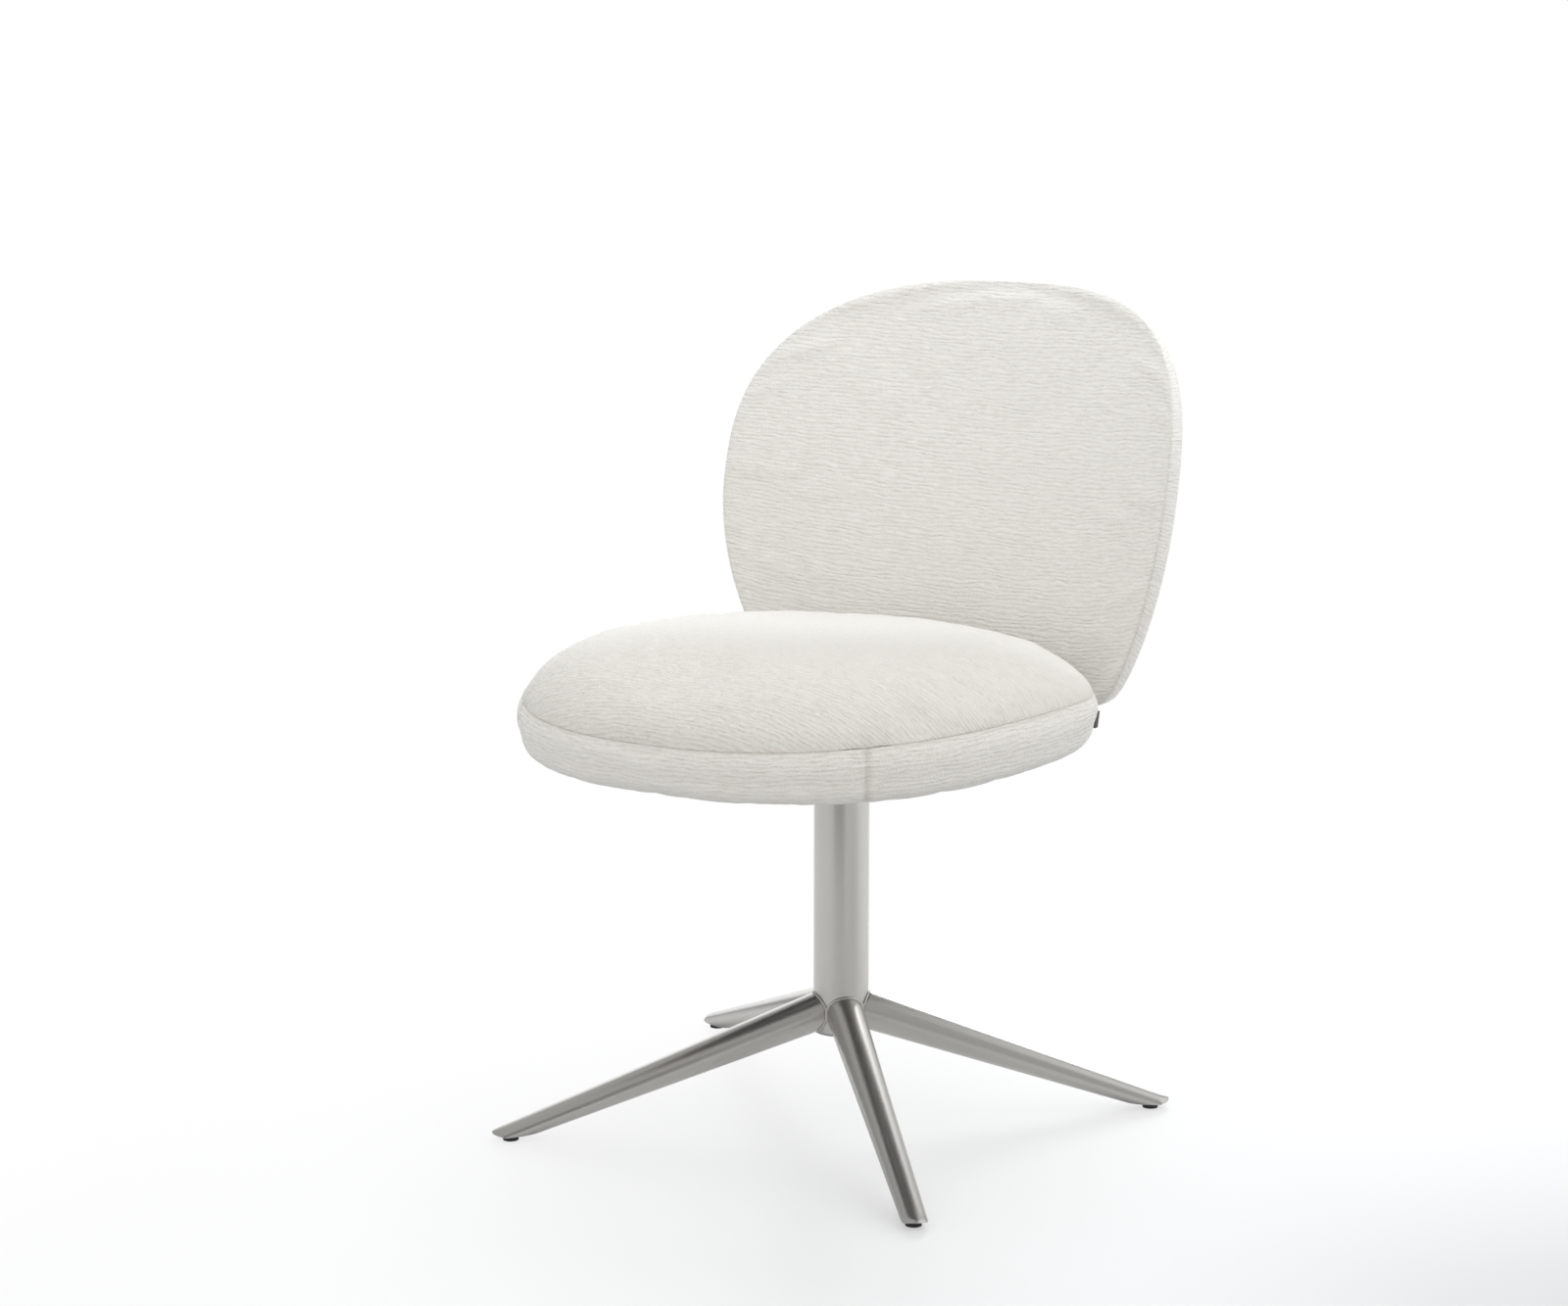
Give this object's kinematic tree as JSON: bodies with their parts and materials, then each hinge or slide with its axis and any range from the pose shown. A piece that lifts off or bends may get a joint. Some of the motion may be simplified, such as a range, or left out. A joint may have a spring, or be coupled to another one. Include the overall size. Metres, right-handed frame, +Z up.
{
  "type": "swivel chair",
  "caption": "Dining chair with an oval padded seat that turns on a steel column, four splayed steel legs and a padded back that wraps round the sitter.",
  "frame": {"origin": "on the floor, in the middle of the chair's plan; the column's axis stands 7.5 mm in front of it, at y -0.0075", "axes": "+X to the sitter's left, -Y the way the sitter faces, +Z up along the column's axis"},
  "size_m": [0.5542, 0.713, 0.8058],
  "materials": {
    "satin_steel": "satin brushed stainless steel",
    "machined_steel": "zinc plated steel, hidden",
    "black_plastic": "matt black moulded plastic",
    "nylon": "natural nylon",
    "birch_plywood": "raw birch plywood, hidden",
    "padding": "moulded polyurethane foam, hidden",
    "boucle_cloth": "off-white woven cloth with fine uneven cross ribs",
    "lining_cloth": "black non-woven lining"
  },
  "bodies": {
    "base": {"leg_front_left": "satin_steel", "leg_front_right": "satin_steel", "leg_rear_left": "satin_steel", "leg_rear_right": "satin_steel", "column_tube": "satin_steel", "column_end_cap": "black_plastic", "floor_glides": "black_plastic", "upper_bush": "nylon", "lower_bush": "nylon", "thrust_washer": "nylon"},
    "seat": {"spindle": "machined_steel", "retaining_washer": "machined_steel", "retaining_ring": "machined_steel", "mounting_plate": "machined_steel", "support_frame": "satin_steel", "seat_bolts": "machined_steel", "seat_spacers": "black_plastic", "seat_tee_nuts": "machined_steel", "seat_board": "birch_plywood", "seat_foam": "padding", "seat_top_cover": "boucle_cloth", "seat_border": "boucle_cloth", "dust_cover": "lining_cloth", "back_shell": "birch_plywood", "back_screws": "machined_steel", "back_tee_nuts": "machined_steel", "back_front_foam": "padding", "back_rear_foam": "padding", "back_front_cover": "boucle_cloth", "back_rear_cover": "boucle_cloth"}
  },
  "joints": [
    {"name": "seat_swivel", "type": "hinge", "parent": "base", "child": "seat", "pos_m": [0, -0.0075, 0.375], "axis": [0, 0, 1], "continuous": true}
  ]
}
